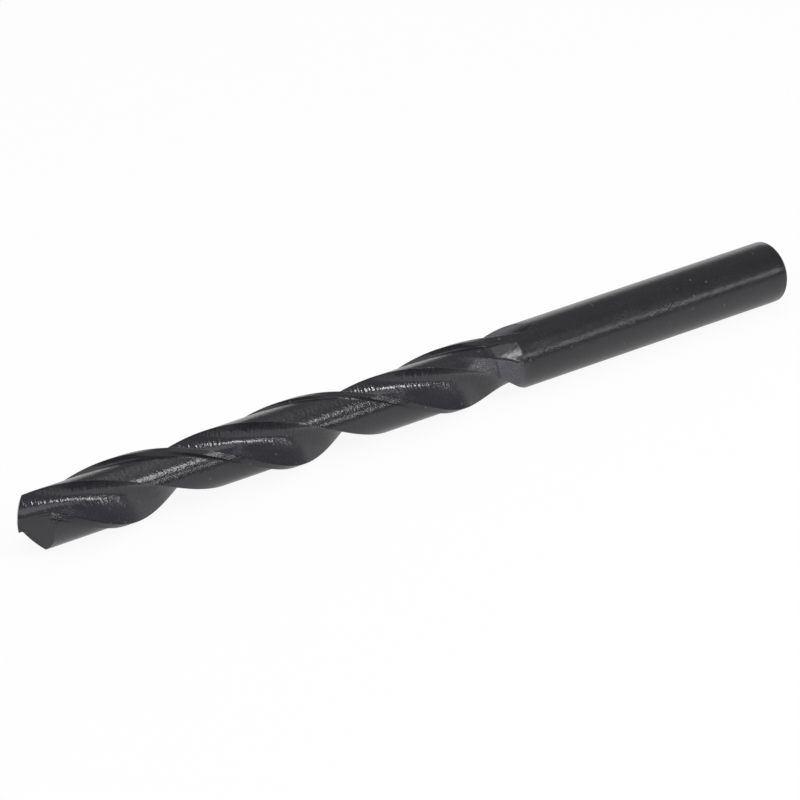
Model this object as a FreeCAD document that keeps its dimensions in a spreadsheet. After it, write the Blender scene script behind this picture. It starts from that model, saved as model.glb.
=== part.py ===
"""Straight-shank twist drill bit, one piece of hardened steel.

The drill is modelled on its own axis, with the tip at the local origin and +Z
running from the tip to the shank end. It is then laid on its side: the tip
points to -X, and the drill touches the surface it lies on at Z = 0.

It is made as the real one is: a turned bar, two right-hand helical flutes
that run out against the shank, the land behind each margin ground back, and
two curved flanks ground on the point, which leave the lips and the chisel edge.
"""
import FreeCAD, Part
import Sketcher
import math
import os

Vector = FreeCAD.Vector
Rotation = FreeCAD.Rotation
Placement = FreeCAD.Placement

# Driving dimensions: millimetres and degrees
DIMENSIONS = [
    ("drill_diameter", 8.0, "across the margins at the point"),
    ("back_taper", 0.08, "how much smaller the drill is across at the shank"),
    ("overall_length", 117.0, "chisel edge to shank end"),
    ("flute_length", 76.0, "chisel edge to the end of the flutes' run-out"),
    ("helix_lead", 49.8, "length of one full turn of a flute"),
    ("web_thickness", 1.55, "core left between the two flutes"),
    ("flute_bottom_radius", 1.4, "rounding of the flute beside the web"),
    ("flute_bottom_angle", 118.0, "from the leading edge back to the flute's deepest place"),
    ("rake_radius", 9.0, "hollow of the flute wall that forms the lip"),
    ("heel_radius", 3.8, "hollow of the flute wall that rises to the heel"),
    ("wheel_radius", 22.0, "curve on which the flute rises out of the bar"),
    ("runout_heading", 160.0, "from the leading edge back to the side towards which the flute rises"),
    ("land_angle", 94.0, "from the leading edge back to the heel"),
    ("margin_width", 0.8, "full-diameter strip behind the leading edge"),
    ("clearance_depth", 0.4, "how far the first land is ground back behind its margin"),
    ("second_clearance_depth", 0.7, "how far the second land is ground back behind its margin"),
    ("clearance_end", 72.5, "chisel edge to where the ground-back land is full again"),
    ("clearance_runout", 3.2, "length of the ramp at the end of the ground-back land"),
    ("heel_overlap", 12.0, "angle that the grinding of the land runs on past the heel"),
    ("point_angle", 118.0, "included angle of the two lips"),
    ("lip_relief", 7.2, "slope of the flank just behind the lip"),
    ("flank_radius", 9.0, "curve on which the flank falls away from the lip"),
    ("shank_chamfer", 0.45, "chamfer on the shank end"),
    ("point_stock", 1.0, "bar ahead of the tip, taken off with the flanks"),
    ("overcut", 1.5, "how far a cutting outline reaches past the bar"),
    ("clear_exit", 0.05, "how far a run-out clears the bar where it ends"),
    ("resting_turn", 52.6, "height of the leading edge round the axis as the drill lies"),
]
FLUTE_RUNOUT_SECTIONS = 6
CLEARANCE_RUNOUT_SECTIONS = 3

doc = FreeCAD.newDocument("twist_drill")
sheet = doc.addObject("Spreadsheet::Sheet", "dims")
for row, (name, value, note) in enumerate(DIMENSIONS, start=1):
    sheet.set(f"A{row}", name)
    sheet.set(f"B{row}", str(value))
    sheet.set(f"C{row}", note)
    sheet.setAlias(f"B{row}", name)
doc.recompute()

body = doc.addObject("PartDesign::Body", "twist_drill")
body.Label = "twist_drill"


def size(name):
    """The present value of one named dimension."""
    return float(sheet.get(name))


# Formulas that the features share, in terms of the sheet's cells
RADIUS = "dims.drill_diameter / 2"
SHANK_RADIUS = "((dims.drill_diameter - dims.back_taper) / 2)"
OUTER = "(dims.drill_diameter / 2 + dims.overcut)"
BOTTOM_REACH = "(dims.web_thickness / 2 + dims.flute_bottom_radius)"
RUNOUT_SWING = "((dims.runout_heading - dims.flute_bottom_angle) * 1 deg)"
FULL_LIFT = (
    f"(sqrt(({SHANK_RADIUS} + dims.flute_bottom_radius + dims.clear_exit) ^ 2"
    f" - ({BOTTOM_REACH} * sin({RUNOUT_SWING})) ^ 2) - {BOTTOM_REACH} * cos({RUNOUT_SWING}))"
)
FLUTE_RUNOUT = f"sqrt(2 * dims.wheel_radius * {FULL_LIFT} - {FULL_LIFT} ^ 2)"
FLUTE_FULL_END = f"(dims.flute_length - {FLUTE_RUNOUT})"
CLEARANCE_FULL_END = "(dims.clearance_end - dims.clearance_runout)"
MARGIN_ANGLE = f"(2 * asin(dims.margin_width / 2 / ({RADIUS})))"
CLEARANCE_ANGLE = "((dims.land_angle + dims.heel_overlap) * 1 deg)"
LIP_DEPTH = (
    f"(sqrt(({RADIUS}) ^ 2 - (dims.web_thickness / 2) ^ 2)"
    " / tan(dims.point_angle / 2 * 1 deg))"
)
FLANK_CENTRE_BACK = (
    "(dims.web_thickness / 2 + dims.flank_radius * sin(dims.lip_relief * 1 deg))"
)
LIP_TURN = f"(asin(dims.web_thickness / 2 / ({RADIUS})) + 360 deg * {LIP_DEPTH} / dims.helix_lead)"


def turn_at(station):
    """The angle through which the section has turned at a distance from the tip."""
    return f"360 deg * ({station}) / dims.helix_lead"


def origin_feature(role):
    """One of the body's own origin planes or axes, found by its role."""
    return next(item for item in body.Origin.OriginFeatures if item.Role == role)


def polar(radius, degrees):
    """A point on the section plane, by radius and angle."""
    angle = math.radians(degrees)
    return Vector(radius * math.cos(angle), radius * math.sin(angle), 0)


def circles_meet(centre_a, radius_a, centre_b, radius_b):
    """The two points where two circles of the section plane cross."""
    apart = centre_b - centre_a
    along = (radius_a ** 2 - radius_b ** 2 + apart.Length ** 2) / (2 * apart.Length)
    across = math.sqrt(max(0.0, radius_a ** 2 - along ** 2))
    unit = Vector(apart).normalize()
    side = Vector(-unit.y, unit.x, 0)
    return [centre_a + unit * along + side * across * sign for sign in (1, -1)]


def arc_between(centre, first, last):
    """The anticlockwise arc about a centre from one point to another."""
    radius = (first - centre).Length
    start = math.atan2(first.y - centre.y, first.x - centre.x)
    end = math.atan2(last.y - centre.y, last.x - centre.x)
    if end < start:
        end += 2 * math.pi
    return Part.ArcOfCircle(Part.Circle(centre, Vector(0, 0, 1), radius), start, end)


def new_sketch(name, support):
    """An empty sketch of the body on a plane."""
    sketch = body.newObject("Sketcher::SketchObject", name)
    sketch.AttachmentSupport = [(support, "")]
    sketch.MapMode = "FlatFace"
    return sketch


def constrain(sketch, kind, *where, formula=None, start=None):
    """Add one constraint, and bind it to a formula of the sheet if one is given."""
    if formula is None:
        return sketch.addConstraint(Sketcher.Constraint(kind, *where))
    index = sketch.addConstraint(Sketcher.Constraint(kind, *where, start))
    sketch.setExpression(f"Constraints[{index}]", formula)
    return index


def place_section(sketch, station, lift="0", half_turn="0 deg"):
    """Set a section at its distance from the tip, turned with the helix.

    The lift moves it straight out from the axis, towards the run-out's heading.
    """
    turn = f"{turn_at(station)} + {half_turn}"
    heading = f"(dims.runout_heading * 1 deg + {turn})"
    sketch.AttachmentOffset = Placement(Vector(0, 0, 1), Rotation(Vector(0, 0, 1), 1))
    sketch.setExpression("AttachmentOffset.Base.x", f"({lift}) * cos({heading})")
    sketch.setExpression("AttachmentOffset.Base.y", f"({lift}) * sin({heading})")
    sketch.setExpression("AttachmentOffset.Base.z", station)
    sketch.setExpression("AttachmentOffset.Rotation.Angle", turn)


def flute_section(name, station, lift="0"):
    """The flute's outline across the bar: rake wall, bottom and heel wall.

    The three arcs are tangent. The rake wall passes through the leading edge of
    the next land, half a turn on, and the heel wall through the heel.
    """
    radius = size("drill_diameter") / 2
    outer = radius + size("overcut")
    bottom_radius = size("flute_bottom_radius")
    rake_radius = size("rake_radius")
    heel_radius = size("heel_radius")
    bottom_reach = size("web_thickness") / 2 + bottom_radius

    lead = polar(radius, 180)
    heel = polar(radius, size("land_angle"))
    axis_point = Vector(0, 0, 0)
    bottom_centre = polar(bottom_reach, size("flute_bottom_angle"))
    rake_centre = max(
        circles_meet(bottom_centre, rake_radius - bottom_radius, lead, rake_radius),
        key=lambda point: point.y,
    )
    heel_centre = min(
        circles_meet(bottom_centre, heel_radius - bottom_radius, heel, heel_radius),
        key=lambda point: point.x,
    )
    rake_end = bottom_centre + (bottom_centre - rake_centre).normalize() * bottom_radius
    heel_start = bottom_centre + (bottom_centre - heel_centre).normalize() * bottom_radius
    rake_outer = min(
        circles_meet(axis_point, outer, rake_centre, rake_radius), key=lambda point: point.x
    )
    heel_outer = max(
        circles_meet(axis_point, outer, heel_centre, heel_radius), key=lambda point: point.y
    )

    sketch = new_sketch(name, origin_feature("XY_Plane"))
    rake = sketch.addGeometry(arc_between(rake_centre, rake_outer, rake_end))
    bottom = sketch.addGeometry(arc_between(bottom_centre, rake_end, heel_start))
    rise = sketch.addGeometry(arc_between(heel_centre, heel_start, heel_outer))
    outside = sketch.addGeometry(arc_between(axis_point, heel_outer, rake_outer))
    reach = sketch.addGeometry(Part.LineSegment(axis_point, bottom_centre), True)
    to_heel = sketch.addGeometry(Part.LineSegment(axis_point, heel), True)
    to_lead = sketch.addGeometry(Part.LineSegment(axis_point, lead), True)

    constrain(sketch, "Tangent", rake, 2, bottom, 1)
    constrain(sketch, "Tangent", bottom, 2, rise, 1)
    constrain(sketch, "Coincident", rise, 2, outside, 1)
    constrain(sketch, "Coincident", outside, 2, rake, 1)
    constrain(sketch, "Coincident", outside, 3, -1, 1)
    for line in (reach, to_heel, to_lead):
        constrain(sketch, "Coincident", line, 1, -1, 1)
    constrain(sketch, "Coincident", reach, 2, bottom, 3)
    constrain(sketch, "PointOnObject", to_heel, 2, rise)
    constrain(sketch, "PointOnObject", to_lead, 2, rake)
    constrain(sketch, "PointOnObject", to_lead, 2, -1)

    constrain(sketch, "DistanceX", to_lead, 2, -1, 1, formula=RADIUS, start=radius)
    constrain(sketch, "Distance", to_heel, formula=RADIUS, start=radius)
    constrain(sketch, "Angle", to_heel, formula="dims.land_angle * 1 deg",
              start=math.radians(size("land_angle")))
    constrain(sketch, "Distance", reach, start=bottom_reach,
              formula="dims.web_thickness / 2 + dims.flute_bottom_radius")
    constrain(sketch, "Angle", reach, formula="dims.flute_bottom_angle * 1 deg",
              start=math.radians(size("flute_bottom_angle")))
    constrain(sketch, "Radius", rake, formula="dims.rake_radius", start=rake_radius)
    constrain(sketch, "Radius", bottom, formula="dims.flute_bottom_radius", start=bottom_radius)
    constrain(sketch, "Radius", rise, formula="dims.heel_radius", start=heel_radius)
    constrain(sketch, "Radius", outside, formula=OUTER, start=outer)
    place_section(sketch, station, lift)
    return sketch


def clearance_section(name, depth, half_turn, station, rise="0"):
    """The outline that grinds a land back, from its margin to past its heel."""
    radius = size("drill_diameter") / 2
    outer = radius + size("overcut")
    inner = radius - size(depth)
    first = math.degrees(2 * math.asin(size("margin_width") / 2 / radius))
    last = size("land_angle") + size("heel_overlap")
    axis_point = Vector(0, 0, 0)

    sketch = new_sketch(name, origin_feature("XY_Plane"))
    floor = sketch.addGeometry(arc_between(axis_point, polar(inner, first), polar(inner, last)))
    outside = sketch.addGeometry(arc_between(axis_point, polar(outer, first), polar(outer, last)))
    step = sketch.addGeometry(Part.LineSegment(polar(inner, first), polar(outer, first)))
    side = sketch.addGeometry(Part.LineSegment(polar(inner, last), polar(outer, last)))
    for arc in (floor, outside):
        constrain(sketch, "Coincident", arc, 3, -1, 1)
    for line, end in ((step, 1), (side, 2)):
        constrain(sketch, "Coincident", line, 1, floor, end)
        constrain(sketch, "Coincident", line, 2, outside, end)
        constrain(sketch, "PointOnObject", -1, 1, line)
    constrain(sketch, "Angle", step, formula=MARGIN_ANGLE, start=math.radians(first))
    constrain(sketch, "Angle", side, formula=CLEARANCE_ANGLE, start=math.radians(last))
    constrain(sketch, "Radius", floor, start=inner,
              formula=f"{RADIUS} - dims.{depth} + ({rise})")
    constrain(sketch, "Radius", outside, formula=OUTER, start=outer)
    place_section(sketch, station, half_turn=half_turn)
    return sketch


def turned_bar():
    """The bar: it tapers a little from the point to the flutes' end, then is round."""
    radius = size("drill_diameter") / 2
    shank_radius = radius - size("back_taper") / 2
    stock = size("point_stock")
    fluted = size("flute_length")
    length = size("overall_length")
    chamfer = size("shank_chamfer")
    corners = [
        Vector(0, -stock, 0),
        Vector(radius, -stock, 0),
        Vector(shank_radius, fluted, 0),
        Vector(shank_radius, length - chamfer, 0),
        Vector(shank_radius - chamfer, length, 0),
        Vector(0, length, 0),
    ]
    sketch = new_sketch("bar_outline", origin_feature("XZ_Plane"))
    for corner, following in zip(corners, corners[1:] + corners[:1]):
        sketch.addGeometry(Part.LineSegment(corner, following))
    face, taper, shank, bevel, back, axis_line = range(len(corners))
    for line in range(len(corners)):
        constrain(sketch, "Coincident", line, 2, (line + 1) % len(corners), 1)
    constrain(sketch, "Horizontal", face)
    constrain(sketch, "Vertical", shank)
    constrain(sketch, "Horizontal", back)
    constrain(sketch, "PointOnObject", face, 1, -2)
    constrain(sketch, "PointOnObject", back, 2, -2)
    constrain(sketch, "DistanceX", -1, 1, taper, 1, formula=RADIUS, start=radius)
    constrain(sketch, "DistanceX", -1, 1, shank, 1, formula=SHANK_RADIUS, start=shank_radius)
    constrain(sketch, "DistanceY", taper, 1, -1, 1, formula="dims.point_stock", start=stock)
    constrain(sketch, "DistanceY", -1, 1, shank, 1, formula="dims.flute_length", start=fluted)
    constrain(sketch, "DistanceY", -1, 1, back, 2, formula="dims.overall_length", start=length)
    constrain(sketch, "DistanceX", bevel, 2, bevel, 1, formula="dims.shank_chamfer", start=chamfer)
    constrain(sketch, "DistanceY", bevel, 1, bevel, 2, formula="dims.shank_chamfer", start=chamfer)
    bar = body.newObject("PartDesign::Revolution", "bar")
    bar.Profile = (sketch, [""])
    bar.ReferenceAxis = (sketch, ["V_Axis"])
    bar.Angle = 360
    return bar


def helical_cut(name, section, full_end):
    """Carry a section from ahead of the tip to its full-depth end along the helix.

    The path is straight, on the axis. A helix of the drill's lead steers it.
    """
    stock = size("point_stock")
    reach = 10.0
    path = new_sketch(f"{name}_path", origin_feature("XZ_Plane"))
    line = path.addGeometry(Part.LineSegment(Vector(0, -stock, 0), Vector(0, reach, 0)))
    constrain(path, "PointOnObject", line, 1, -2)
    constrain(path, "PointOnObject", line, 2, -2)
    constrain(path, "DistanceY", line, 1, -1, 1, formula="dims.point_stock", start=stock)
    constrain(path, "DistanceY", -1, 1, line, 2, formula=full_end, start=reach)

    helix = doc.addObject("Part::Helix", f"{name}_helix")
    helix.SegmentLength = 0
    helix.setExpression("Radius", RADIUS)
    helix.setExpression("Pitch", "dims.helix_lead")
    helix.setExpression("Height", f"dims.point_stock + {full_end}")
    helix.setExpression("Placement.Base.z", "-dims.point_stock")
    helix.setExpression("Placement.Rotation.Angle", turn_at("-dims.point_stock"))

    cut = body.newObject("PartDesign::SubtractivePipe", name)
    cut.Profile = (section, [""])
    cut.Spine = (path, ["Edge1"])
    cut.Mode = "Auxiliary"
    cut.AuxiliarySpine = (helix, ["Edge1"])
    return cut


def runout_cut(name, sections):
    """Carry a cut on through a row of rising sections until it is out of the bar."""
    cut = body.newObject("PartDesign::SubtractiveLoft", name)
    cut.Profile = (sections[0], [""])
    cut.Sections = [(section, [""]) for section in sections[1:]]
    cut.Ruled = False
    return cut


def flute():
    """One flute: full depth along the helix, then up the wheel's curve."""
    start = flute_section("flute_start", "-dims.point_stock")
    cut = helical_cut("flute", start, FLUTE_FULL_END)
    rising = []
    for index in range(FLUTE_RUNOUT_SECTIONS):
        share = index / (FLUTE_RUNOUT_SECTIONS - 1)
        travel = f"({FLUTE_RUNOUT} * {share:.6f})"
        lift = f"dims.wheel_radius - sqrt(dims.wheel_radius ^ 2 - {travel} ^ 2)"
        station = f"{FLUTE_FULL_END} + {travel}"
        rising.append(flute_section(f"flute_runout_section_{index}", station, lift))
    return [cut, runout_cut("flute_runout", rising)]


def body_clearance(land, depth, half_turn):
    """One land ground back behind its margin, with a ramp at the shank end."""
    start = clearance_section(f"{land}_clearance_start", depth, half_turn, "-dims.point_stock")
    helical_cut(f"{land}_clearance", start, CLEARANCE_FULL_END)
    rising = []
    for index in range(CLEARANCE_RUNOUT_SECTIONS):
        share = index / (CLEARANCE_RUNOUT_SECTIONS - 1)
        name = f"{land}_clearance_runout_section_{index}"
        station = f"{CLEARANCE_FULL_END} + dims.clearance_runout * {share:.6f}"
        rise = f"(dims.{depth} + dims.clear_exit) * {share:.6f}"
        rising.append(clearance_section(name, depth, half_turn, station, rise))
    return runout_cut(f"{land}_clearance_runout", rising)


def twice_round(name, originals):
    """Repeat cuts half a turn on, because the drill has two of each."""
    pattern = body.newObject("PartDesign::PolarPattern", name)
    pattern.Originals = originals
    pattern.Axis = (origin_feature("Z_Axis"), [""])
    pattern.Angle = 360
    pattern.Occurrences = 2
    body.Tip = pattern
    return pattern


def point_flank():
    """Grind one flank: a round wheel face drawn along the lip.

    The outline stands square to the lip. Its arc passes through the tip, its
    slope behind the lip is the lip's relief, and all that lies outside goes.
    """
    across = body.newObject("PartDesign::Plane", "flank_heading")
    across.AttachmentSupport = [(origin_feature("XY_Plane"), "")]
    across.MapMode = "FlatFace"
    across.AttachmentOffset = Placement(Vector(0, 0, 0), Rotation(Vector(0, 0, 1), 90))
    across.setExpression("AttachmentOffset.Rotation.Angle", f"{LIP_TURN} + 90 deg")
    doc.recompute()

    flank_radius = size("flank_radius")
    back = size("web_thickness") / 2 + flank_radius * math.sin(math.radians(size("lip_relief")))
    centre = Vector(-back, math.sqrt(flank_radius ** 2 - back ** 2), 0)
    left = centre - Vector(flank_radius, 0, 0)
    right = centre + Vector(flank_radius, 0, 0)
    spread = Vector(size("drill_diameter"), 0, 0)
    depth = Vector(0, size("drill_diameter") + centre.y, 0)

    sketch = new_sketch("flank_outline", across)
    arc = sketch.addGeometry(arc_between(centre, left, right))
    outline = [right, right + spread, right + spread - depth, left - spread - depth, left - spread, left]
    lines = [
        sketch.addGeometry(Part.LineSegment(first, second))
        for first, second in zip(outline, outline[1:])
    ]
    constrain(sketch, "Coincident", arc, 2, lines[0], 1)
    for line, following in zip(lines, lines[1:]):
        constrain(sketch, "Coincident", line, 2, following, 1)
    constrain(sketch, "Coincident", lines[4], 2, arc, 1)
    for line in (lines[0], lines[2], lines[4]):
        constrain(sketch, "Horizontal", line)
    for line in (lines[1], lines[3]):
        constrain(sketch, "Vertical", line)
    constrain(sketch, "PointOnObject", -1, 1, arc)
    constrain(sketch, "Horizontal", arc, 1, arc, 3)
    constrain(sketch, "Horizontal", arc, 2, arc, 3)
    constrain(sketch, "Radius", arc, formula="dims.flank_radius", start=flank_radius)
    constrain(sketch, "DistanceX", arc, 3, -1, 1, formula=FLANK_CENTRE_BACK, start=back)
    constrain(sketch, "DistanceX", lines[0], 1, lines[0], 2,
              formula="dims.drill_diameter", start=spread.x)
    constrain(sketch, "DistanceX", lines[4], 1, lines[4], 2,
              formula="dims.drill_diameter", start=spread.x)
    constrain(sketch, "DistanceY", lines[1], 2, -1, 1,
              formula="dims.drill_diameter", start=size("drill_diameter"))
    sketch.AttachmentOffset = Placement(Vector(0, 0, 0), Rotation(Vector(1, 0, 0), 60))
    sketch.setExpression("AttachmentOffset.Rotation.Angle", "dims.point_angle / 2 * 1 deg")

    flank = body.newObject("PartDesign::Pocket", "flank")
    flank.Profile = (sketch, [""])
    flank.Type = "ThroughAll"
    flank.SideType = "Symmetric"
    return flank


def lay_down():
    """Lay the drill on its side along X, turned round its axis as it lies."""
    up = math.radians(size("resting_turn"))
    to_leading_edge = Vector(0, -math.cos(up), math.sin(up))
    to_shank = Vector(1, 0, 0)
    turn = Rotation(to_leading_edge, to_shank.cross(to_leading_edge), to_shank, "ZXY")
    body.Placement = Placement(Vector(0, 0, 0), turn)
    body.setExpression("Placement.Base.x", "-dims.overall_length / 2")
    body.setExpression("Placement.Base.z", RADIUS)


def volume_of(feature):
    """The volume of the body up to a feature, once all is computed."""
    doc.recompute()
    return feature.Shape.Volume


def check_document():
    """Stop if any object failed, or if the drill is not one valid solid."""
    for item in doc.Objects:
        if "Invalid" in item.State or "Error" in item.State:
            raise RuntimeError(f"{item.Name}: {item.State} {item.getStatusString()}")
    shape = body.Shape
    if shape.isNull() or not shape.isValid() or len(shape.Solids) != 1:
        raise RuntimeError("the drill is not one valid solid")


bar = turned_bar()
bar_volume = volume_of(bar)
twice_round("two_flutes", flute())
body_clearance("first_land", "clearance_depth", "0 deg")
second_land = body_clearance("second_land", "second_clearance_depth", "180 deg")
fluted_volume = volume_of(second_land)
ground_point = twice_round("two_flanks", [point_flank()])
finished_volume = volume_of(ground_point)
if not bar_volume > fluted_volume > finished_volume:
    raise RuntimeError("a cut took nothing away")

lay_down()
doc.recompute()
check_document()

os.makedirs("parts", exist_ok=True)
body.Shape.exportStep(f"parts/{body.Label}.step")
bounds = body.Shape.BoundBox
print(f"bar {bar_volume:.1f}  fluted {fluted_volume:.1f}  finished {finished_volume:.1f} mm3")
print(f"box X {bounds.XMin:.3f} {bounds.XMax:.3f}  Y {bounds.YMin:.3f} {bounds.YMax:.3f}"
      f"  Z {bounds.ZMin:.3f} {bounds.ZMax:.3f}")
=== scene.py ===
"""Looks of a straight-shank twist drill bit in blackened steel, fitted over its CAD solid.

The drill's skin is one surface worked out in numpy: rows of cross sections along
the drill and columns that follow its edges, from the ground point to the shank
end. Lengths here are millimetres on the drill's own axis, with the tip at the
origin and z running to the shank. The skin is put into the row frame in metres.
"""
import bpy
import bmesh
import math
import numpy as np
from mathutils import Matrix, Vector

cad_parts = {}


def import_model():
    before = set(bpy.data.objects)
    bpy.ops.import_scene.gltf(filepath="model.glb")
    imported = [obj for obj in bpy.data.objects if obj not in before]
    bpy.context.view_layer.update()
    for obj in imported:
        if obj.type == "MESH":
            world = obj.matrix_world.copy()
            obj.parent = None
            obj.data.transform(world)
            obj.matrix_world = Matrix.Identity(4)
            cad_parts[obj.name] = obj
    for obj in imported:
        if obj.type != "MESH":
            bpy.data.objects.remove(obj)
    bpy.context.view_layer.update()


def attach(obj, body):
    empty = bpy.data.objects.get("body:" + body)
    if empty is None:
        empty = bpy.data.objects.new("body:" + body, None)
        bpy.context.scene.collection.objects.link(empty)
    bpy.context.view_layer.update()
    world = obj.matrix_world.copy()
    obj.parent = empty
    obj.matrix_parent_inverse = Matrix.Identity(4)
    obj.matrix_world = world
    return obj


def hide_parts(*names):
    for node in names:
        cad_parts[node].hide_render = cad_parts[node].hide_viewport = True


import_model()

MM = 0.001
TURN = 2 * math.pi
rad = math.radians

# The drill, in millimetres and degrees. The skin lies a hair inside the solid.
AXIS_HEIGHT = 4.0
DRILL_RADIUS = 3.992
SHANK_RADIUS = 3.953
KEPT_WITHIN = 0.99998
OVERALL_LENGTH = 117.0
FLUTE_LENGTH = 76.7
HELIX_LEAD = 49.8
HALF_WEB = 0.775
FLUTE_BOTTOM_RADIUS = 1.4
FLUTE_BOTTOM_ANGLE = 118.0
RAKE_RADIUS = 9.0
HEEL_RADIUS = 2.8
WHEEL_RADIUS = 22.0
RUNOUT_HEADING = 148.0
LAND_ANGLE = 94.0
MARGIN_WIDTH = 0.8
FIRST_CLEARANCE = 0.4
SECOND_CLEARANCE = 0.7
HALF_POINT_ANGLE = rad(59.0)
LIP_RELIEF = rad(7.2)
FLANK_RADIUS = 9.0
SHANK_CHAMFER = 0.45
CHAMFER_ROUNDING = (0.04, 0.045)
CHAMFER_EDGE = 0.012
OUTLINE_OVERCUT = 1.5
RUNOUT_OVERCUT = 0.05
RESTING_TURN = rad(52.6)

# How finely the skin is divided
TIP_ROW_STEP = 0.12
TIP_ROWS_TO = 3.0
ROW_STEP = 0.24
FINE_ROW_STEP = 0.14
FINE_ROWS_FROM = 66.0
LAST_FINE_ROW = 0.1
CLOSING_ROWS = 5
ROWS_AFTER_FLUTES = (0.0, 0.2, 0.5, 0.9, 1.4, 2.0, 2.7, 3.5)
SHANK_ROWS_AFTER = 4.4
SHANK_ROW_STEP = 0.9
LAST_SHANK_ROW = 0.5
LAST_ROUND_ROW = 0.05
END_FACE_EDGE = 0.06
END_FACE_RINGS = (2.6, 1.7, 0.8)
SHANK_SPREAD = 6.0
POINT_BLEND = 12.0
POINT_SEARCH = (-1.0, 8.0)
POINT_RINGS = 34
RING_CROWDING = 1.3
BISECTIONS = 34
MERGE_METRES = 2e-7
NO_LENGTH_METRES = 1e-8
SHARP_ANGLE = rad(28)

# Camera and light
PHOTO_AIM = (-0.002779, -0.000841, 0.004)
PHOTO_AZIMUTH = rad(-129.329)
PHOTO_ELEVATION = rad(24.574)
PHOTO_DISTANCE = 0.61915
PHOTO_LENS = 231.61
SENSOR_WIDTH = 36.0
SURROUND_STRENGTH = 0.262
FLOOR_HALF = 3.0
FLOOR_WHITE = (0.85, 0.85, 0.85, 1)
FLOOR_GLOW_SEEN = 0.92
FLOOR_GLOW_MIRRORED = 0.56
# Each lamp: name, width and height, place, aim, power
LAMPS = (
    ("left_softbox", (0.8, 0.8), (-1.0, -0.1, 0.95), (0, 0, 0), 6.0),
    ("overhead_softbox", (1.1, 1.1), (0.05, 0.0, 1.0), (0, 0, 0), 4.4),
    ("low_backdrop", (2.2, 0.36), (0.62, 0.78, 0.19), (0, 0, 0), 2.3),
    ("front_strip", (0.5, 0.035), (0.7, -0.89, 0.34), (0, 0, 0), 0.85),
    ("near_lamp", (0.1, 0.06), (0.12, -0.22, 0.225), (-0.025, 0, 0.004), 0.22),
    ("front_lamp", (0.12, 0.055), (0.28, -0.88, 0.68), (0, 0, 0.004), 1.1),
    ("front_glow", (0.16, 0.26), (0.28, -0.88, 0.68), (0, 0, 0.004), 1.7),
)

# The finish: its two colours, how far each place goes towards the paler one (thinner oxide; in
# the flutes also painted fill light against their shade), and roughness with what each place adds
BLACK_OXIDE = (0.0092, 0.0088, 0.012, 1)
# The paler colour: thin oxide, and in the flutes also painted fill light
THIN_OXIDE_AND_FILL = (0.104, 0.101, 0.118, 1)
OXIDE_IOR = 1.52
SPOT_THINNING = 0.6
ROUGH_PASS_THINNING = 0.45
# Flutes: thinner oxide, plus painted fill light that lifts the shade in the flutes
FLUTE_THINNING_AND_FILL = 0.24
# The lands are a little lighter in colour
LAND_LIGHTENING = 0.08
POINT_THINNING = 0.13
SHANK_ROUGHNESS = 0.25
FLUTE_ROUGHNESS = 0.26
CHATTER_POLISH = -0.1
LAND_POLISH = -0.08
RAMP_DULLING = 0.12
PATCH_UNEVENNESS = 0.05
FINE_UNEVENNESS = 0.06
FLUTE_METAL = 0.03
TIP_COARSENESS = 0.35


def polar(radius, degrees):
    """A point on the section plane, by radius and angle."""
    return np.array([radius * math.cos(rad(degrees)), radius * math.sin(rad(degrees))])


def circles_meet(centre_a, radius_a, centre_b, radius_b):
    """The two points where two circles of the section plane cross.

    They lie to either side of the line between the centres, level with its place
    whose squared distances from the centres differ as the squared radii do.
    """
    gap = centre_b - centre_a
    apart = np.linalg.norm(gap)
    along = (radius_a ** 2 - radius_b ** 2 + apart ** 2) / (2 * apart)
    across = math.sqrt(max(0.0, radius_a ** 2 - along ** 2))
    unit = gap / apart
    side = np.array([-unit[1], unit[0]])
    return [centre_a + unit * along + side * across * sign for sign in (1, -1)]


class FluteOutline:
    """The flute across the drill: rake wall, bottom and heel wall, as three tangent arcs.

    A place on it is its distance along the arcs, from outside the rake wall to
    outside the heel wall: centre of the arc plus its radius towards an angle
    that grows with the distance.
    """

    def __init__(self):
        outer = DRILL_RADIUS + OUTLINE_OVERCUT
        lead = polar(DRILL_RADIUS, 180)
        heel = polar(DRILL_RADIUS, LAND_ANGLE)
        bottom = polar(HALF_WEB + FLUTE_BOTTOM_RADIUS, FLUTE_BOTTOM_ANGLE)
        rake = max(circles_meet(bottom, RAKE_RADIUS - FLUTE_BOTTOM_RADIUS, lead, RAKE_RADIUS),
                   key=lambda point: point[1])
        rise = min(circles_meet(bottom, HEEL_RADIUS - FLUTE_BOTTOM_RADIUS, heel, HEEL_RADIUS),
                   key=lambda point: point[0])
        rake_outer = min(circles_meet(np.zeros(2), outer, rake, RAKE_RADIUS),
                         key=lambda point: point[0])
        heel_outer = max(circles_meet(np.zeros(2), outer, rise, HEEL_RADIUS),
                         key=lambda point: point[1])
        self.centres = np.array([rake, bottom, rise])
        self.radii = np.array([RAKE_RADIUS, FLUTE_BOTTOM_RADIUS, HEEL_RADIUS])
        turns = [self.heading(rake_outer - rake), self.heading(bottom - rake),
                 self.heading(bottom - rise), self.heading(heel_outer - rise)]
        self.starts = np.unwrap(turns)
        lengths = np.diff(self.starts) * self.radii
        self.marks = np.concatenate([[0.0], np.cumsum(lengths)])
        self.end = self.marks[3]

    @staticmethod
    def heading(step):
        """The angle of a step on the section plane."""
        return math.atan2(step[1], step[0])

    def point(self, distance):
        """Places on the outline, for an array of distances along it."""
        arc = np.clip(np.searchsorted(self.marks, distance, side="right") - 1, 0, 2)
        angle = self.starts[arc] + (distance - self.marks[arc]) / self.radii[arc]
        centre = self.centres[arc]
        x = centre[..., 0] + self.radii[arc] * np.cos(angle)
        y = centre[..., 1] + self.radii[arc] * np.sin(angle)
        return x, y


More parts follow.
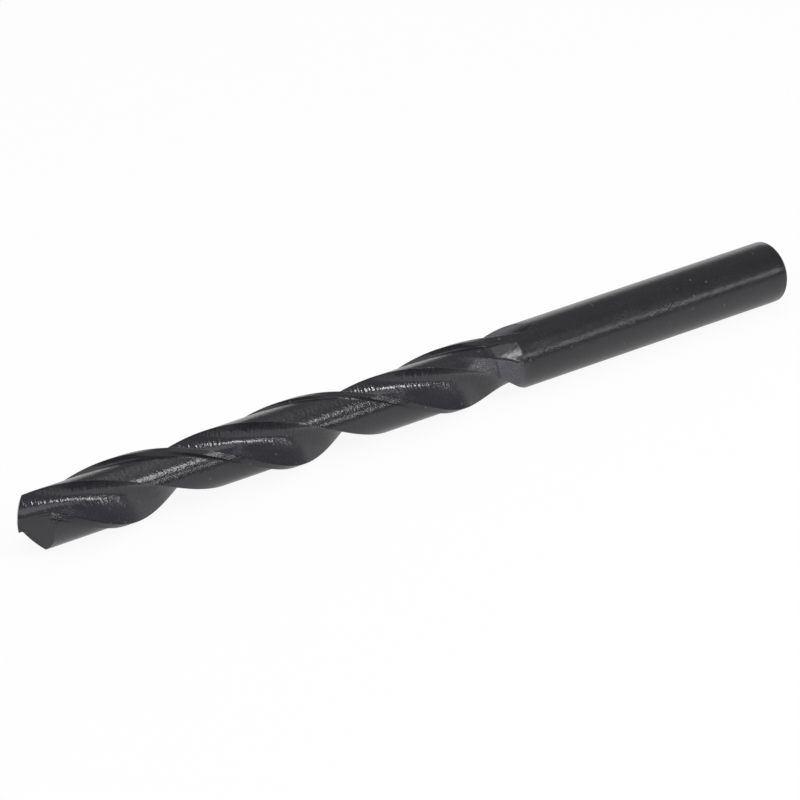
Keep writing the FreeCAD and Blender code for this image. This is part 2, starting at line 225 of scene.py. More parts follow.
OUTLINE = FluteOutline()
BOTTOM_REACH = HALF_WEB + FLUTE_BOTTOM_RADIUS
RUNOUT_SWING = rad(RUNOUT_HEADING - FLUTE_BOTTOM_ANGLE)
OUT_OF_BAR = (math.sqrt((SHANK_RADIUS + FLUTE_BOTTOM_RADIUS + RUNOUT_OVERCUT) ** 2
                        - (BOTTOM_REACH * math.sin(RUNOUT_SWING)) ** 2)
              - BOTTOM_REACH * math.cos(RUNOUT_SWING))
FLUTE_RUNOUT = math.sqrt(2 * WHEEL_RADIUS * OUT_OF_BAR - OUT_OF_BAR ** 2)
FULL_DEPTH_END = FLUTE_LENGTH - FLUTE_RUNOUT
MARGIN_ANGLE = 2 * math.asin(MARGIN_WIDTH / 2 / DRILL_RADIUS)
STEP_ANGLE = rad(2.6)

# The end of the ground-back land: two passes of the wheel, beside the margin and the heel
EVEN_PASS = (69.6, 72.9)
STEEP_PASS = (69.0, 72.4)
STEEP_STEP = 0.4
STEEP_STEP_LENGTH = 0.3
RIDGE_SHARE = 0.47
RIDGE_HEIGHT = 0.1
RIDGE_WIDTH = 0.04
RIDGE_FROM = 66.0
RIDGE_RISE = 2.0
PASS_OVERLAP = 0.06

# Wear: rounded lips, most at their outer corners, and a light break of the long edges
LIP_WEAR_CENTRE = 0.06
LIP_WEAR_CORNER = 0.42
LIP_WEAR_FROM = 0.6
LIP_WEAR_WIDENS_OVER = 3.4
LIP_WEAR_REACH = 1.3
LIP_WEAR_SLOPE = 0.55
EDGE_BREAK = 0.03
EDGE_BREAK_STOPS_SHORT = 1.0

# Where along the drill each finish starts or ends: the station, and how long the change takes
FLUTE_FINISH_END = (76.5, 4.0)
CHATTER_END = (76.0, 8.0)
TIP_CHATTER_END = (8.0, 4.0)
TIP_CHATTER_SHARE = 0.6
LAND_FINISH_END = (74.6, 2.0)
RAMP_START, RAMP_END = (68.7, 0.5), (73.4, 0.8)
ROUGH_START, ROUGH_END = (64.5, 4.5), (73.4, 1.8)
TIP_FINISH_END = (6.5, 3.5)
# The same across the flute and the land, in shares of the way across
CHATTER_SIDE_START, CHATTER_SIDE_END = (0.0, 0.1), (0.66, 0.2)
ROUGH_SIDE_CHANGE, ROUGH_SIDE_START = 0.08, 0.3


def smooth(value):
    """A share from 0 to 1 that starts and ends level: 3s squared less 2s cubed."""
    share = np.clip(value, 0.0, 1.0)
    return share * share * (3 - 2 * share)


def after(place, start, change):
    """A share that is 0 up to a start and 1 once the change is over."""
    return smooth((place - start) / change)


def before(place, end, change):
    """A share that is 1 until the change begins and 0 from the end on."""
    return smooth((end - place) / change)


def margin_radius(z):
    """The margins taper evenly from the drill's radius at the tip to the shank's.

    The radius at the tip, less the whole taper times the share of the flutes' length.
    """
    return DRILL_RADIUS + (SHANK_RADIUS - DRILL_RADIUS) * np.clip(z / FLUTE_LENGTH, 0, 1)


def land_radius(z, share):
    """The land lies back behind its margin, then ramps up to the shank in two passes.

    The passes meet at a low ridge. The one beside the margin rises evenly. The
    one beside the heel starts with a short steep step.
    """
    even = np.clip((z - EVEN_PASS[0]) / (EVEN_PASS[1] - EVEN_PASS[0]), 0, 1)
    slope = np.clip((z - STEEP_PASS[0]) / (STEEP_PASS[1] - STEEP_PASS[0]), 0, 1)
    step = smooth((z - STEEP_PASS[0]) / STEEP_STEP_LENGTH)
    steep = STEEP_STEP * step + (1 - STEEP_STEP) * slope
    side = smooth((share - RIDGE_SHARE) / PASS_OVERLAP + 0.5)
    ramp = even * (1 - side) + steep * side
    ridge = np.exp(-((share - RIDGE_SHARE) / RIDGE_WIDTH) ** 2)
    ridge = ridge * smooth((z - RIDGE_FROM) / RIDGE_RISE)
    depth = np.where(HALF_TURN == 0, FIRST_CLEARANCE, SECOND_CLEARANCE)
    return margin_radius(z) - (1 - ramp) * (depth - RIDGE_HEIGHT * ridge)


def flute_lift(z):
    """Past its full depth the flute rises on a circle, the radius of the grinding wheel.

    The rise is the wheel's radius, less the root of its square less the travel's square.
    """
    travel = np.clip(z - FULL_DEPTH_END, 0, FLUTE_RUNOUT)
    return WHEEL_RADIUS - np.sqrt(WHEEL_RADIUS ** 2 - travel ** 2)


def lifted_point(distance, lift):
    """A place on the flute's outline, moved straight out towards the run-out's heading."""
    x, y = OUTLINE.point(distance)
    heading = rad(RUNOUT_HEADING)
    return x + lift * math.cos(heading), y + lift * math.sin(heading)


def deepest_place(lift):
    """The distance along the outline of its place nearest the axis, on the bottom arc."""
    heading = rad(RUNOUT_HEADING)
    centre_x = OUTLINE.centres[1][0] + lift * math.cos(heading)
    centre_y = OUTLINE.centres[1][1] + lift * math.sin(heading)
    towards_axis = np.arctan2(-centre_y, -centre_x)
    along = (towards_axis - OUTLINE.starts[1]) % TURN
    return OUTLINE.marks[1] + FLUTE_BOTTOM_RADIUS * along


def where_outline_reaches(radius, lift, outside):
    """The distance along the outline where it meets a radius, found by halving.

    The search runs from the deepest place towards one outer end, and an outline
    that has left the bar gives the deepest place itself.
    """
    deepest = deepest_place(lift)
    near = deepest
    far = np.full_like(radius, outside)
    for _ in range(BISECTIONS):
        middle = (near + far) / 2
        x, y = lifted_point(middle, lift)
        inside = np.hypot(x, y) < radius
        near = np.where(inside, middle, near)
        far = np.where(inside, far, middle)
    gone = np.hypot(*lifted_point(deepest, lift)) >= radius
    return np.where(gone, deepest, near)


def spread(count, edge):
    """Shares from 0 to 1 with one extra close to each end, for a rounded edge."""
    inner = edge + (1 - 2 * edge) * np.linspace(0, 1, count)
    return np.concatenate([[0.0], inner, [1.0]])


# Columns of half the section: part of the section, and share of the way across it
MARGIN, STEP, LAND, FLUTE = range(4)
PARTS = (
    (MARGIN, spread(6, 0.07)[:-1]),
    (STEP, np.linspace(0, 1, 6)[:-1]),
    (LAND, spread(31, 0.012)[:-1]),
    (FLUTE, spread(44, 0.012)[:-1]),
)
COLUMN_PART = np.tile(np.concatenate([np.full(len(shares), part) for part, shares in PARTS]), 2)
COLUMN_SHARE = np.tile(np.concatenate([shares for part, shares in PARTS]), 2)
COLUMNS = len(COLUMN_PART)
HALF_TURN = np.where(np.arange(COLUMNS) < COLUMNS // 2, 0.0, math.pi)


def section_angle_and_radius(z):
    """The skin's angle and radius, for an array of stations by columns.

    Each column runs along its own part of the section. The margin goes from the
    leading edge to the step at a fixed angle, the step falls to the land, the
    land reaches to the heel, and the flute runs back along its outline to the
    next leading edge. All are turned by the helix.
    """
    part = np.broadcast_to(COLUMN_PART, z.shape)
    share = np.broadcast_to(COLUMN_SHARE, z.shape)
    lift = flute_lift(z)
    full = margin_radius(z)
    rake = where_outline_reaches(full, lift, 0.0)
    lead_x, lead_y = lifted_point(rake, lift)
    lead_angle = np.arctan2(lead_y, lead_x) % TURN - math.pi
    land_start = MARGIN_ANGLE + STEP_ANGLE
    heel_share = 1.0
    for _ in range(2):
        heel = where_outline_reaches(land_radius(z, heel_share), lift, OUTLINE.end)
        heel_x, heel_y = lifted_point(heel, lift)
        heel_angle = np.arctan2(heel_y, heel_x)
        heel_share = (heel_angle - land_start) / (rad(LAND_ANGLE) - land_start)

    margin_angle = lead_angle + share * (MARGIN_ANGLE - lead_angle)
    step_angle = MARGIN_ANGLE + STEP_ANGLE * share ** 2
    step_radius = full + (land_radius(z, 0.0) - full) * smooth(share)
    land_angle = land_start + share * (heel_angle - land_start)
    land_share = share * heel_share
    flute_x, flute_y = lifted_point(heel + share * (rake - heel), lift)

    angle = np.select([part == MARGIN, part == STEP, part == LAND],
                      [margin_angle, step_angle, land_angle],
                      np.arctan2(flute_y, flute_x))
    radius = np.select([part == MARGIN, part == STEP, part == LAND],
                       [full, step_radius, land_radius(z, land_share)],
                       np.hypot(flute_x, flute_y))
    corner = (share == 0) & ((part == MARGIN) | (part == FLUTE))
    broken = corner * (z < FLUTE_LENGTH - EDGE_BREAK_STOPS_SHORT)
    radius = np.minimum(radius, full) - EDGE_BREAK * broken
    turn = TURN * np.minimum(z, FLUTE_LENGTH) / HELIX_LEAD
    return angle + turn + HALF_TURN, radius, land_share


# The flank, ground as a round wheel face drawn along the lip
LIP_DEPTH = math.sqrt(DRILL_RADIUS ** 2 - HALF_WEB ** 2) / math.tan(HALF_POINT_ANGLE)
LIP_TURN = math.asin(HALF_WEB / DRILL_RADIUS) + TURN * LIP_DEPTH / HELIX_LEAD
FLANK_BACK = HALF_WEB + FLANK_RADIUS * math.sin(LIP_RELIEF)
FLANK_RISE = math.sqrt(FLANK_RADIUS ** 2 - FLANK_BACK ** 2)


def one_flank(x, y):
    """Height of one flank: a round arc across the lip, sloping evenly along it.

    The arc's fall divided by the sine of half the point angle, plus the distance
    along the lip divided by its tangent.
    """
    across = -x * math.sin(LIP_TURN) + y * math.cos(LIP_TURN)
    along = x * math.cos(LIP_TURN) + y * math.sin(LIP_TURN)
    reach = np.clip(across + FLANK_BACK, -FLANK_RADIUS, FLANK_RADIUS)
    fall = FLANK_RISE - np.sqrt(FLANK_RADIUS ** 2 - reach ** 2)
    return fall / math.sin(HALF_POINT_ANGLE) + along / math.tan(HALF_POINT_ANGLE)


def lip_wear(x, y):
    """How far one lip is worn back: a rounding that widens towards the outer corner.

    A part of the rounding's width, times the square of how deep in it a place lies.
    """
    across = -x * math.sin(LIP_TURN) + y * math.cos(LIP_TURN)
    along = x * math.cos(LIP_TURN) + y * math.sin(LIP_TURN)
    widening = smooth((along - LIP_WEAR_FROM) / LIP_WEAR_WIDENS_OVER)
    width = LIP_WEAR_CENTRE + (LIP_WEAR_CORNER - LIP_WEAR_CENTRE) * widening
    share = np.clip(1 - (across + HALF_WEB) / width, 0, LIP_WEAR_REACH) * (along > 0)
    return LIP_WEAR_SLOPE * width * share ** 2


def point_height(x, y):
    """Height of the ground point: the farther back of the two flanks, and the worn lips."""
    ground = np.maximum(one_flank(x, y), one_flank(-x, -y))
    return ground + lip_wear(x, y) + lip_wear(-x, -y)


def point_start():
    """Where each column leaves the ground point, found by halving."""
    near = np.full((1, COLUMNS), POINT_SEARCH[0])
    far = np.full((1, COLUMNS), POINT_SEARCH[1])
    for _ in range(BISECTIONS):
        middle = (near + far) / 2
        angle, radius, _ = section_angle_and_radius(middle)
        above = middle > point_height(radius * np.cos(angle), radius * np.sin(angle))
        far = np.where(above, middle, far)
        near = np.where(above, near, middle)
    return far


def row_stations():
    """Stations of the rows: close at the point and the run-outs, wide on the shank."""
    first = np.arange(0, TIP_ROWS_TO, TIP_ROW_STEP)
    body = np.arange(TIP_ROWS_TO, FINE_ROWS_FROM, ROW_STEP)
    end = np.arange(FINE_ROWS_FROM, FLUTE_LENGTH - LAST_FINE_ROW, FINE_ROW_STEP)
    last = FLUTE_LENGTH - FINE_ROW_STEP * 0.5 ** np.arange(1, CLOSING_ROWS + 1)
    beyond = FLUTE_LENGTH + np.array(ROWS_AFTER_FLUTES)
    shank = np.arange(FLUTE_LENGTH + SHANK_ROWS_AFTER,
                      OVERALL_LENGTH - SHANK_CHAMFER - LAST_SHANK_ROW, SHANK_ROW_STEP)
    return np.concatenate([first, body, end, last, beyond, shank])


def shank_end_profile():
    """Stations and radii at the shank's end: a chamfer with rounded edges, and the end face."""
    start, inner = OVERALL_LENGTH - SHANK_CHAMFER, SHANK_RADIUS - SHANK_CHAMFER
    along, inwards = CHAMFER_ROUNDING
    chamfer = [[start - LAST_ROUND_ROW, SHANK_RADIUS], [start, SHANK_RADIUS - CHAMFER_EDGE],
               [start + along, SHANK_RADIUS - inwards], [OVERALL_LENGTH - along, inner + inwards],
               [OVERALL_LENGTH, inner - CHAMFER_EDGE], [OVERALL_LENGTH, inner - END_FACE_EDGE]]
    return np.array(chamfer + [[OVERALL_LENGTH, radius] for radius in END_FACE_RINGS])


def point_rings(outer_x, outer_y):
    """Rings over the ground point, from the tip out to just inside the body's first row.

    A ring's size is 1 less the share left to go, raised to a power that crowds the
    rings outwards, and each vertex lies at the flanks' own height.
    """
    shares = np.linspace(0, 1, POINT_RINGS + 1)[1:-1, None]
    size = 1 - (1 - shares) ** RING_CROWDING
    x, y = size * outer_x, size * outer_y
    return x, y, point_height(x, y)


def skin():
    """The drill's whole skin, in rows of columns from the tip to the shank's end face.

    Rows of the body start on the ground point and level out over the first few
    millimetres. Past the flutes the columns spread evenly round the shank, then
    close on the chamfer and the end face. Gives x, y and z, the place of each
    vertex for the grinding marks (millimetres round the section and along the
    drill), and its share of the way across the full land.
    """
    level = row_stations()[:, None]
    z = level + point_start() * (1 - smooth(level / POINT_BLEND))
    angle, radius, land_share = section_angle_and_radius(z)
    even = angle[-1:].mean() + (np.arange(COLUMNS) - (COLUMNS - 1) / 2) * TURN / COLUMNS
    angle = angle + (even - angle) * after(level, FLUTE_LENGTH, SHANK_SPREAD)

    end = shank_end_profile()
    end_angle = np.repeat(even[None, :], len(end), axis=0)
    angle = np.vstack([angle, end_angle])
    radius = np.vstack([radius, np.repeat(end[:, 1:], COLUMNS, axis=1)])
    z = np.vstack([z, np.repeat(end[:, :1], COLUMNS, axis=1)])
    x, y = radius * np.cos(angle), radius * np.sin(angle)
    step = np.hypot(np.diff(x, axis=1, prepend=x[:, :1]), np.diff(y, axis=1, prepend=y[:, :1]))
    around = np.cumsum(step, axis=1)

    ring_x, ring_y, ring_z = point_rings(x[:1], y[:1])
    marks_x, marks_y = np.vstack([ring_x, around]), np.vstack([ring_y, z])
    land_share = np.vstack([np.zeros_like(ring_x), land_share, np.zeros_like(end_angle)])
    x, y, z = np.vstack([ring_x, x]), np.vstack([ring_y, y]), np.vstack([ring_z, z])
    return x, y, z, marks_x, marks_y, land_share


def in_row_frame(x, y, z):
    """The drill laid on its side along X, turned round its axis as it rests, in metres.

    z less half the length is X, and x and y turned by the resting angle are Y and
    Z, with Z raised to the axis.
    """
    up, out = math.sin(RESTING_TURN), math.cos(RESTING_TURN)
    return np.stack([(z - OVERALL_LENGTH / 2) * KEPT_WITHIN,
                     -out * x - up * y,
                     up * x - out * y + AXIS_HEIGHT], axis=-1) * MM


def skin_faces(rows):
    """Quads between neighbouring rows, and a fan of triangles at the tip and the end face.

    The two fans' centres are the last two vertices.
    """
    row, column = np.meshgrid(np.arange(rows - 1), np.arange(COLUMNS), indexing="ij")
    following = (column + 1) % COLUMNS
    quads = np.stack([row * COLUMNS + column, row * COLUMNS + following,
                      (row + 1) * COLUMNS + following, (row + 1) * COLUMNS + column], axis=-1)
    around = np.arange(COLUMNS)
    beside = (around + 1) % COLUMNS
    tip, end, last = rows * COLUMNS, rows * COLUMNS + 1, (rows - 1) * COLUMNS
    tip_fan = np.stack([np.full(COLUMNS, tip), beside, around], axis=-1)
    end_fan = np.stack([np.full(COLUMNS, end), last + around, last + beside], axis=-1)
    return quads.reshape(-1, 4).tolist() + tip_fan.tolist() + end_fan.tolist()


def finish_masks(station, part, share, across, point):
    """How much of each finish every vertex has, from its station and part of the section.

    The share is that of the way across the full land, and across is the column's
    own way across its part.
    """
    body = ~point & (station < FLUTE_LENGTH)
    heel_side = before(across, *CHATTER_SIDE_END)
    near_tip = TIP_CHATTER_SHARE * before(station, *TIP_CHATTER_END)
    return {
        "flute_mask": body * (part == FLUTE) * before(station, *FLUTE_FINISH_END),
        "chatter_mask": (body * (part == FLUTE) * before(station, *CHATTER_END)
                         * after(across, *CHATTER_SIDE_START) * np.maximum(heel_side, near_tip)),
        "land_mask": body * (part == LAND) * before(station, *LAND_FINISH_END),
        "ramp_mask": after(station, *RAMP_START) * before(station, *RAMP_END) * (part == LAND),
        "rough_pass_mask": (
            after(station, *ROUGH_START) * before(station, *ROUGH_END) * (part == LAND)
            * smooth((share - RIDGE_SHARE) / ROUGH_SIDE_CHANGE + ROUGH_SIDE_START)),
        "tip_mask": before(station, *TIP_FINISH_END) * (part != FLUTE) * ~point,
        "point_mask": point,
    }


def drill_mesh():
    """The skin as a closed mesh, with the values that its finish follows."""
    x, y, z, marks_x, marks_y, land_share = skin()
    rows = len(z)
    points = in_row_frame(x, y, z).reshape(-1, 3)
    tip, end = in_row_frame(np.zeros(2), np.zeros(2), np.array([0.0, OVERALL_LENGTH]))
    mesh = bpy.data.meshes.new("drill_skin")
    mesh.from_pydata(np.vstack([points, tip, end]).tolist(), [], skin_faces(rows))

    station = np.append(z.ravel(), [0.0, OVERALL_LENGTH])
    part = np.append(np.tile(COLUMN_PART, rows), [MARGIN, MARGIN])
    share = np.append(land_share.ravel(), [0.0, 0.0])
    across = np.append(np.tile(COLUMN_SHARE, rows), [0.5, 0.5])
    point = np.arange(len(station)) < (POINT_RINGS - 1) * COLUMNS
    for name, values in finish_masks(station, part, share, across, point).items():
        attribute = mesh.attributes.new(name, "FLOAT", "POINT")
        attribute.data.foreach_set("value", np.asarray(values, dtype=np.float32))
    marks = np.stack([np.append(marks_x.ravel(), [0, 0]), np.append(marks_y.ravel(), [0, 0]),
                      np.zeros(len(station))], axis=-1)
    attribute = mesh.attributes.new("section_mm", "FLOAT_VECTOR", "POINT")
    attribute.data.foreach_set("vector", marks.astype(np.float32).ravel())
    return mesh


def tidy_mesh(mesh):
    """Merge the columns that meet where the flutes end, and face the skin outwards.

    Faces are shaded smooth, with sharp edges where they turn by more than an angle.
    """
    work = bmesh.new()
    work.from_mesh(mesh)
    bmesh.ops.remove_doubles(work, verts=work.verts, dist=MERGE_METRES)
    bmesh.ops.dissolve_degenerate(work, edges=work.edges, dist=NO_LENGTH_METRES)
    bmesh.ops.recalc_face_normals(work, faces=work.faces)
    if work.calc_volume(signed=True) < 0:
        bmesh.ops.reverse_faces(work, faces=work.faces)
    work.to_mesh(mesh)
    work.free()
    mesh.polygons.foreach_set("use_smooth", [True] * len(mesh.polygons))
    mesh.set_sharp_from_angle(angle=SHARP_ANGLE)


def add_node(tree, kind, **values):
    """A node with its settings, and its inputs set by name."""
    node = tree.nodes.new(kind)
    for name, value in values.items():
        if hasattr(node, name):
            setattr(node, name, value)
        else:
            node.inputs[name.replace("_", " ")].default_value = value
    return node


def link(tree, source, target):
    """Join an output to an input."""
    tree.links.new(source, target)


def new_group(name, inputs, outputs):
    """An empty node group with named inputs and outputs, and its two end nodes."""
    group = bpy.data.node_groups.new(name, "ShaderNodeTree")
    for label, kind in inputs:
        group.interface.new_socket(label, in_out="INPUT", socket_type=kind)
    for label, kind in outputs:
        group.interface.new_socket(label, in_out="OUTPUT", socket_type=kind)
    return group, group.nodes.new("NodeGroupInput"), group.nodes.new("NodeGroupOutput")


def grinding_marks():
    """Uneven ripples with their own fineness in two directions, as a height in metres."""
    group, start, end = new_group(
        "grinding_marks",
        [("Place", "NodeSocketVector"), ("Across", "NodeSocketFloat"),
         ("Along", "NodeSocketFloat"), ("Depth", "NodeSocketFloat"),
         ("Fine detail", "NodeSocketFloat")],
        [("Height", "NodeSocketFloat"), ("Share", "NodeSocketFloat")])
    stretch = group.nodes.new("ShaderNodeCombineXYZ")
    scaled = add_node(group, "ShaderNodeVectorMath", operation="MULTIPLY")
    noise = add_node(group, "ShaderNodeTexNoise", Scale=1.0, Roughness=0.62)
    link(group, start.outputs["Fine detail"], noise.inputs["Detail"])
    depth = add_node(group, "ShaderNodeMath", operation="MULTIPLY")
    link(group, start.outputs["Across"], stretch.inputs["X"])
    link(group, start.outputs["Along"], stretch.inputs["Y"])
    link(group, start.outputs["Along"], stretch.inputs["Z"])
    link(group, start.outputs["Place"], scaled.inputs[0])
    link(group, stretch.outputs[0], scaled.inputs[1])
    link(group, scaled.outputs[0], noise.inputs["Vector"])
    link(group, noise.outputs["Fac"], depth.inputs[0])
    link(group, start.outputs["Depth"], depth.inputs[1])
    link(group, depth.outputs[0], end.inputs["Height"])
    link(group, noise.outputs["Fac"], end.inputs["Share"])
    return group


def small_flecks():
    """Sparse small spots: the share of a spot at each place."""
    group, start, end = new_group(
        "small_flecks",
        [("Place", "NodeSocketVector"), ("Fineness", "NodeSocketFloat"),
         ("Sparseness", "NodeSocketFloat")],
        [("Amount", "NodeSocketFloat")])
    cells = add_node(group, "ShaderNodeTexVoronoi", feature="F1")
    chosen = add_node(group, "ShaderNodeMath", operation="GREATER_THAN")
    size = add_node(group, "ShaderNodeMapRange", interpolation_type="SMOOTHSTEP")
    size.inputs["From Min"].default_value = 0.34
    size.inputs["From Max"].default_value = 0.12
    both = add_node(group, "ShaderNodeMath", operation="MULTIPLY")
    split = group.nodes.new("ShaderNodeSeparateColor")
    link(group, start.outputs["Place"], cells.inputs["Vector"])
    link(group, start.outputs["Fineness"], cells.inputs["Scale"])
    link(group, cells.outputs["Color"], split.inputs[0])
    link(group, split.outputs[0], chosen.inputs[0])
    link(group, start.outputs["Sparseness"], chosen.inputs[1])
    link(group, cells.outputs["Distance"], size.inputs["Value"])
    link(group, chosen.outputs[0], both.inputs[0])
    link(group, size.outputs[0], both.inputs[1])
    link(group, both.outputs[0], end.inputs["Amount"])
    return group


def place_group(tree, group, place, **values):
    """A group in a material, fed with a place and its numbers."""
    node = tree.nodes.new("ShaderNodeGroup")
    node.node_tree = group
    link(tree, place, node.inputs["Place"])
    for name, value in values.items():
        node.inputs[name.replace("_", " ")].default_value = value
    return node


def arithmetic(tree, operation, first, second):
    """The result of a sum, with each side a number or an output."""
    node = add_node(tree, "ShaderNodeMath", operation=operation)
    for socket, side in zip(node.inputs, (first, second)):
        if isinstance(side, (int, float)):
            socket.default_value = side
        else:
            link(tree, side, socket)
    return node.outputs[0]


def level_between(tree, share, low, high):
    """A level that goes from one number to another as a share goes from 0 to 1."""
    return arithmetic(tree, "ADD", arithmetic(tree, "MULTIPLY", share, high - low), low)


def plus(tree, total, share, weight):
    """A total, plus a share times its weight."""
    return arithmetic(tree, "ADD", total, arithmetic(tree, "MULTIPLY", share, weight))


def read_attribute(tree, name, output="Fac"):
    """A named value of the skin."""
    return add_node(tree, "ShaderNodeAttribute", attribute_name=name).outputs[output]


def blackened_steel():
    """Steel with a black oxide finish, lighter in the flutes from thinner oxide and painted fill
    light against their shade, rough where it was last ground.
    """
    material = bpy.data.materials.new("blackened_steel")
    material.use_nodes = True
    tree = material.node_tree
    shader = tree.nodes["Principled BSDF"]
    shader.inputs["IOR"].default_value = OXIDE_IOR
    section = read_attribute(tree, "section_mm", "Vector")
    place = tree.nodes.new("ShaderNodeTexCoord").outputs["Object"]
    flute = read_attribute(tree, "flute_mask")
    chattered = read_attribute(tree, "chatter_mask")
    land = read_attribute(tree, "land_mask")
    ramp = read_attribute(tree, "ramp_mask")
    rough = read_attribute(tree, "rough_pass_mask")
    tip = read_attribute(tree, "tip_mask")
    point = read_attribute(tree, "point_mask")

    marks, flecks = grinding_marks(), small_flecks()
    chatter = place_group(tree, marks, section, Across=0.9, Along=3.4, Depth=6.8e-5,
                          Fine_detail=0.5)
    streaks = place_group(tree, marks, section, Across=5.0, Along=0.35, Depth=6e-6,
                          Fine_detail=2.0)
    coarse = place_group(tree, marks, section, Across=4.2, Along=4.2, Depth=1.8e-4,
                         Fine_detail=2.5)
    grain = place_group(tree, marks, place, Across=3400.0, Along=3400.0, Depth=2.4e-5,
                        Fine_detail=2.0)
    land_grain = place_group(tree, marks, place, Across=2000.0, Along=2000.0, Depth=3e-5,
                             Fine_detail=2.0)
    patches = place_group(tree, marks, place, Across=260.0, Along=260.0, Depth=1.0,
                          Fine_detail=2.0)
    dulling = place_group(tree, marks, place, Across=2300.0, Along=2300.0, Depth=1.0,
                          Fine_detail=2.0)
    spots = place_group(tree, flecks, place, Fineness=1500.0, Sparseness=0.96)

    height = arithmetic(tree, "MULTIPLY", chatter.outputs["Height"], chattered)
    height = plus(tree, height, streaks.outputs["Height"], flute)
    roughened = arithmetic(tree, "MAXIMUM", rough,
                           arithmetic(tree, "MULTIPLY", tip, TIP_COARSENESS))
    height = plus(tree, height, coarse.outputs["Height"], roughened)
    height = plus(tree, height, land_grain.outputs["Height"], land)
    height = arithmetic(tree, "ADD", height, grain.outputs["Height"])
    bump = add_node(tree, "ShaderNodeBump", Strength=1.0, Distance=1.0)
    link(tree, height, bump.inputs["Height"])
    link(tree, bump.outputs[0], shader.inputs["Normal"])

    uneven = arithmetic(
        tree, "ADD",
        level_between(tree, patches.outputs["Share"], -PATCH_UNEVENNESS, PATCH_UNEVENNESS),
        level_between(tree, dulling.outputs["Share"], -FINE_UNEVENNESS, FINE_UNEVENNESS))
    roughness = level_between(tree, flute, SHANK_ROUGHNESS, FLUTE_ROUGHNESS)
    roughness = plus(tree, roughness, chattered, CHATTER_POLISH)
    roughness = plus(tree, roughness, land, LAND_POLISH)
    roughness = arithmetic(tree, "ADD", roughness, uneven)
    roughness = plus(tree, roughness, ramp, RAMP_DULLING)
    link(tree, roughness, shader.inputs["Roughness"])
    link(tree, arithmetic(tree, "MULTIPLY", flute, FLUTE_METAL), shader.inputs["Metallic"])

    mix = add_node(tree, "ShaderNodeMix", data_type="RGBA")
    mix.inputs["A"].default_value = BLACK_OXIDE
    mix.inputs["B"].default_value = THIN_OXIDE_AND_FILL
    thinning_and_fill = arithmetic(tree, "MULTIPLY", spots.outputs["Amount"], SPOT_THINNING)
    thinning_and_fill = plus(tree, thinning_and_fill, rough, ROUGH_PASS_THINNING)
    # The flutes' lightening is partly thinner oxide, partly painted fill light against their
    # shade
    thinning_and_fill = plus(tree, thinning_and_fill, flute, FLUTE_THINNING_AND_FILL)
    # The lands are made a little lighter
    thinning_and_fill = plus(tree, thinning_and_fill, land, LAND_LIGHTENING)
    thinning_and_fill = plus(tree, thinning_and_fill, point, POINT_THINNING)
    link(tree, thinning_and_fill, mix.inputs["Factor"])
    link(tree, mix.outputs["Result"], shader.inputs["Base Color"])
    return material


def add_lamp(name, size, place, aim, power):
    """A soft lamp with a width and height, at a place, turned towards a point."""
    light = bpy.data.lights.new(name, "AREA")
    light.shape = "RECTANGLE"
    light.size, light.size_y = size
    light.energy = power
    lamp = bpy.data.objects.new(name, light)
    bpy.context.collection.objects.link(lamp)
    lamp.location = place
    lamp.rotation_euler = (Vector(aim) - Vector(place)).to_track_quat("-Z", "Y").to_euler()


def white_surround():
    """A world that is white to the camera and gives a low, even light."""
    world = bpy.data.worlds.new("surround")
    bpy.context.scene.world = world
    world.use_nodes = True
    tree = world.node_tree
    tree.nodes.clear()
    path = tree.nodes.new("ShaderNodeLightPath")
    even = add_node(tree, "ShaderNodeBackground", Color=(1, 1, 1, 1), Strength=SURROUND_STRENGTH)
    white = add_node(tree, "ShaderNodeBackground", Color=(1, 1, 1, 1), Strength=1.0)
    mix = tree.nodes.new("ShaderNodeMixShader")
    output = tree.nodes.new("ShaderNodeOutputWorld")
    link(tree, path.outputs["Is Camera Ray"], mix.inputs["Fac"])
    link(tree, even.outputs[0], mix.inputs[1])
    link(tree, white.outputs[0], mix.inputs[2])
    link(tree, mix.outputs[0], output.inputs[0])


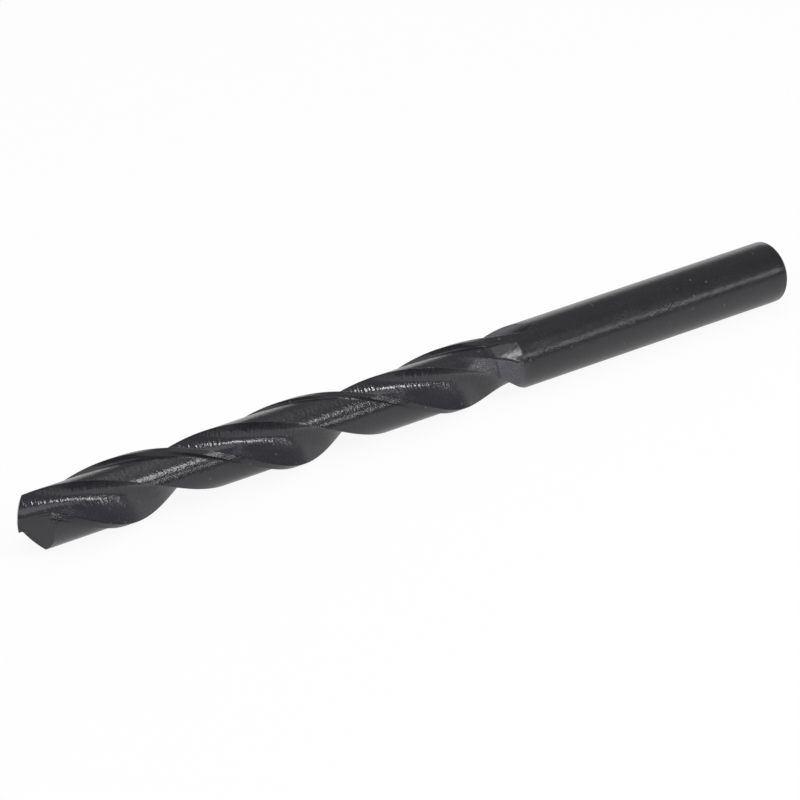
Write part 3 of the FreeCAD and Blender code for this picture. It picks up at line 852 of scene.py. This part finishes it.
def white_floor():
    """Pale paper that still takes a shadow, with a glow where it is seen or mirrored."""
    material = bpy.data.materials.new("white_floor")
    material.use_nodes = True
    tree = material.node_tree
    tree.nodes.clear()
    path = tree.nodes.new("ShaderNodeLightPath")
    seen = arithmetic(tree, "MULTIPLY", path.outputs["Is Camera Ray"], FLOOR_GLOW_SEEN)
    mirrored = arithmetic(tree, "MULTIPLY", path.outputs["Is Glossy Ray"], FLOOR_GLOW_MIRRORED)
    share = arithmetic(tree, "MAXIMUM", seen, mirrored)
    paper = add_node(tree, "ShaderNodeBsdfDiffuse", Color=FLOOR_WHITE)
    glow = add_node(tree, "ShaderNodeEmission", Color=(1, 1, 1, 1), Strength=1.0)
    mix = tree.nodes.new("ShaderNodeMixShader")
    output = tree.nodes.new("ShaderNodeOutputMaterial")
    link(tree, share, mix.inputs["Fac"])
    link(tree, paper.outputs[0], mix.inputs[1])
    link(tree, glow.outputs[0], mix.inputs[2])
    link(tree, mix.outputs[0], output.inputs[0])
    return material


def studio():
    """A pale floor, an even surround and soft lamps."""
    bpy.context.scene.view_settings.view_transform = "Standard"
    white_surround()
    mesh = bpy.data.meshes.new("floor")
    corners = [(-FLOOR_HALF, -FLOOR_HALF, 0), (FLOOR_HALF, -FLOOR_HALF, 0),
               (FLOOR_HALF, FLOOR_HALF, 0), (-FLOOR_HALF, FLOOR_HALF, 0)]
    mesh.from_pydata(corners, [], [(0, 1, 2, 3)])
    mesh.materials.append(white_floor())
    floor = bpy.data.objects.new("floor", mesh)
    bpy.context.collection.objects.link(floor)
    for lamp in LAMPS:
        add_lamp(*lamp)


def photo_camera():
    """The camera at the photograph's angle, with no shift and no depth of field."""
    data = bpy.data.cameras.new("photo_camera")
    data.lens = PHOTO_LENS
    data.sensor_width = SENSOR_WIDTH
    camera = bpy.data.objects.new("photo_camera", data)
    bpy.context.collection.objects.link(camera)
    aim = Vector(PHOTO_AIM)
    out = Vector((math.cos(PHOTO_ELEVATION) * math.cos(PHOTO_AZIMUTH),
                  math.cos(PHOTO_ELEVATION) * math.sin(PHOTO_AZIMUTH),
                  math.sin(PHOTO_ELEVATION)))
    camera.location = aim + out * PHOTO_DISTANCE
    camera.rotation_euler = (-out).to_track_quat("-Z", "Y").to_euler()
    bpy.context.scene.camera = camera


mesh = drill_mesh()
tidy_mesh(mesh)
mesh.materials.append(blackened_steel())
drill = bpy.data.objects.new("drill_skin", mesh)
bpy.context.collection.objects.link(drill)
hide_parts("twist_drill")
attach(drill, "root")
studio()
photo_camera()
